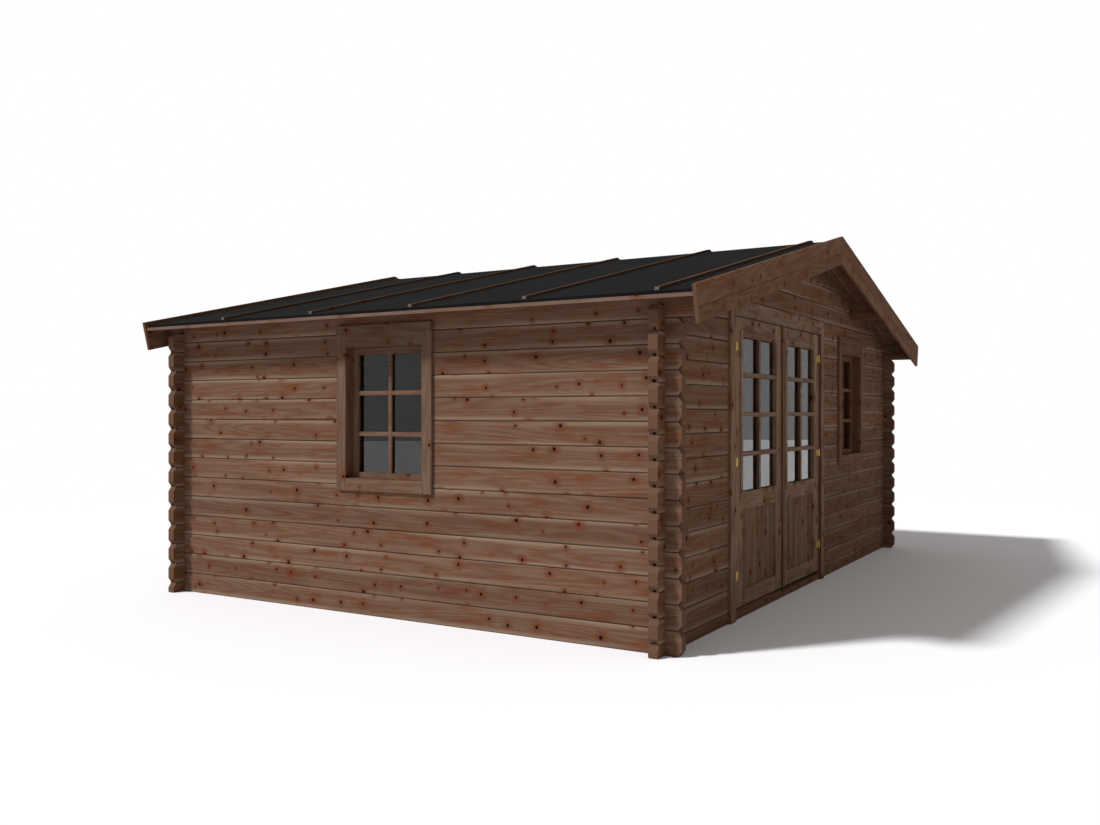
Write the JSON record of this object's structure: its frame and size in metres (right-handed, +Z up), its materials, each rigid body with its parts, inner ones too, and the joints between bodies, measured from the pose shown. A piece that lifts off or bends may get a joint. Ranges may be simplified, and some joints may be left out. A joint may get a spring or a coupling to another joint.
{
  "type": "garden shed",
  "caption": "Log-built garden shed with a low felted gable roof, a glazed double door and framed windows, whose door leaves open outwards.",
  "frame": {"origin": "on the ground under the middle of the floor, on the underside of the middle floor joist", "axes": "+Z up, +X along the gable front to the right as seen from outside, -Y is the front with the door"},
  "size_m": [5.804, 4.455, 2.7127],
  "materials": {
    "logs": "planed, impregnated",
    "treated_joists": "sawn, impregnated",
    "floor_boards": "planed",
    "deck_boards": "planed",
    "roofing_felt": "bitumen felt with mineral grit",
    "battens": "planed, impregnated",
    "eave_laths": "planed, impregnated",
    "bargeboards": "planed, impregnated",
    "window_frames": "planed, impregnated",
    "casings": "planed, impregnated",
    "sashes": "planed, impregnated",
    "glass": "clear",
    "door_frame": "planed, impregnated",
    "door_leaves": "planed, impregnated",
    "door_panels": "planed, impregnated",
    "brass": "dull brass plating"
  },
  "bodies": {
    "shed": {"door_sill_log": "logs", "front_wall_left_logs": "logs", "front_wall_right_logs": "logs", "front_gable_logs": "logs", "back_wall_logs": "logs", "left_wall_logs": "logs", "right_wall_logs": "logs", "floor_joists": "treated_joists", "floor_boards": "floor_boards", "roof_purlins": "logs", "left_roof_deck": "deck_boards", "right_roof_deck": "deck_boards", "left_roof_felt": "roofing_felt", "right_roof_felt": "roofing_felt", "left_roof_battens": "battens", "right_roof_battens": "battens", "eave_laths": "eave_laths", "front_left_bargeboard": "bargeboards", "front_right_bargeboard": "bargeboards", "rear_left_bargeboard": "bargeboards", "rear_right_bargeboard": "bargeboards", "left_window_frame": "window_frames", "right_window_frame": "window_frames", "front_window_frame": "window_frames", "left_window_casing": "casings", "right_window_casing": "casings", "front_window_casing": "casings", "left_window_sash": "sashes", "right_window_sash": "sashes", "front_window_sash": "sashes", "left_window_glass": "glass", "right_window_glass": "glass", "front_window_glass": "glass", "door_frame": "door_frame", "door_casing": "casings", "door_frame_hinges": "brass"},
    "left_leaf": {"left_leaf_frame": "door_leaves", "left_leaf_glass": "glass", "left_leaf_panel": "door_panels", "left_leaf_hinges": "brass"},
    "right_leaf": {"right_leaf_frame": "door_leaves", "right_leaf_glass": "glass", "right_leaf_panel": "door_panels", "right_leaf_hinges": "brass", "right_leaf_cover_strip": "door_leaves"}
  },
  "joints": [
    {"name": "left_leaf_hinge", "type": "hinge", "parent": "shed", "child": "left_leaf", "pos_m": [-1.571, -2.0323, 1], "axis": [0, 0, -1], "range_deg": [0, 110]},
    {"name": "right_leaf_hinge", "type": "hinge", "parent": "shed", "child": "right_leaf", "pos_m": [0.309, -2.0323, 1], "axis": [0, 0, 1], "range_deg": [0, 110]}
  ]
}
